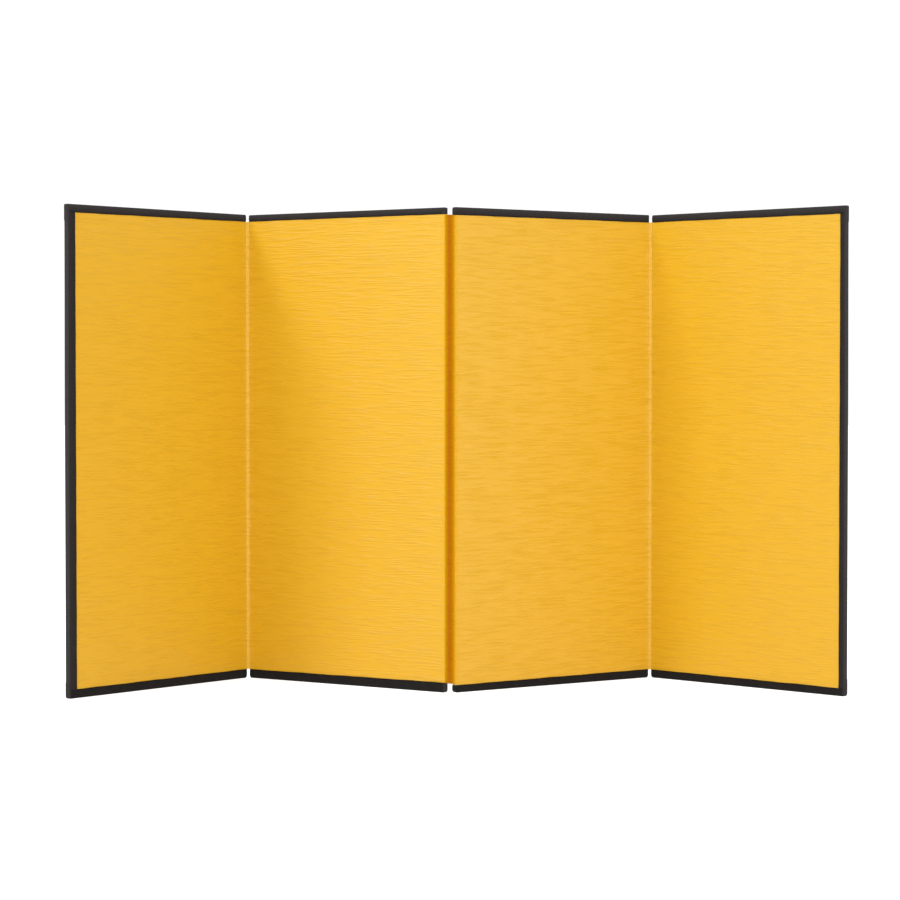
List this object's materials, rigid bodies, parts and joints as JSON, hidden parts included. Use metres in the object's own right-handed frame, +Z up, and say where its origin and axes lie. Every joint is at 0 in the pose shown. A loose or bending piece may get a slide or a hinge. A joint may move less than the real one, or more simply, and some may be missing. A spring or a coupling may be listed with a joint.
{
  "type": "folding screen",
  "caption": "Small folding screen for a table top: gold cloth panels with black bound edges, joined by cloth folds, standing in a zigzag.",
  "frame": {"origin": "middle of the standing screen's footprint, on the surface that it stands on", "axes": "+X along the spread of the screen, to the right seen from the gold front; +Y from the gold front to the back; +Z up"},
  "size_m": [0.3336, 0.0836, 0.21],
  "materials": {
    "core_board": "raw grey-brown millboard, matt",
    "gold_cloth": "satin gold cloth with fine horizontal slubs",
    "back_paper": "plain dark charcoal lining paper, matt",
    "black_binding": "finely woven black binding tape, matt"
  },
  "bodies": {
    "panel_1": {"panel_1_core_board": "core_board", "panel_1_gold_cloth": "gold_cloth", "panel_1_back_paper": "back_paper", "panel_1_top_binding": "black_binding", "panel_1_bottom_binding": "black_binding", "panel_1_side_binding": "black_binding"},
    "panel_2": {"panel_2_core_board": "core_board", "panel_2_gold_cloth": "gold_cloth", "panel_2_back_paper": "back_paper", "panel_2_top_binding": "black_binding", "panel_2_bottom_binding": "black_binding", "left_valley_cloth_strip": "gold_cloth", "left_valley_groove_lining": "back_paper", "centre_mountain_paper_strip": "back_paper", "centre_mountain_groove_lining": "gold_cloth"},
    "panel_3": {"panel_3_core_board": "core_board", "panel_3_gold_cloth": "gold_cloth", "panel_3_back_paper": "back_paper", "panel_3_top_binding": "black_binding", "panel_3_bottom_binding": "black_binding", "right_valley_cloth_strip": "gold_cloth", "right_valley_groove_lining": "back_paper"},
    "panel_4": {"panel_4_core_board": "core_board", "panel_4_gold_cloth": "gold_cloth", "panel_4_back_paper": "back_paper", "panel_4_top_binding": "black_binding", "panel_4_bottom_binding": "black_binding", "panel_4_side_binding": "black_binding"}
  },
  "joints": [
    {"name": "left_valley_fold", "type": "hinge", "parent": "panel_2", "child": "panel_1", "pos_m": [-0.09513, 0.03872, 0], "axis": [0, 0, 1], "range_deg": [-82.3, 97.7], "deforming": ["left_valley_cloth_strip", "left_valley_groove_lining"]},
    {"name": "centre_mountain_fold", "type": "hinge", "parent": "panel_2", "child": "panel_3", "pos_m": [-0.00341, -0.01761, 0], "axis": [0, 0, 1], "range_deg": [-67, 113], "deforming": ["centre_mountain_paper_strip", "centre_mountain_groove_lining"]},
    {"name": "right_valley_fold", "type": "hinge", "parent": "panel_3", "child": "panel_4", "pos_m": [0.08752, 0.04, 0], "axis": [0, 0, -1], "range_deg": [-77.3, 102.7], "deforming": ["right_valley_cloth_strip", "right_valley_groove_lining"]}
  ]
}
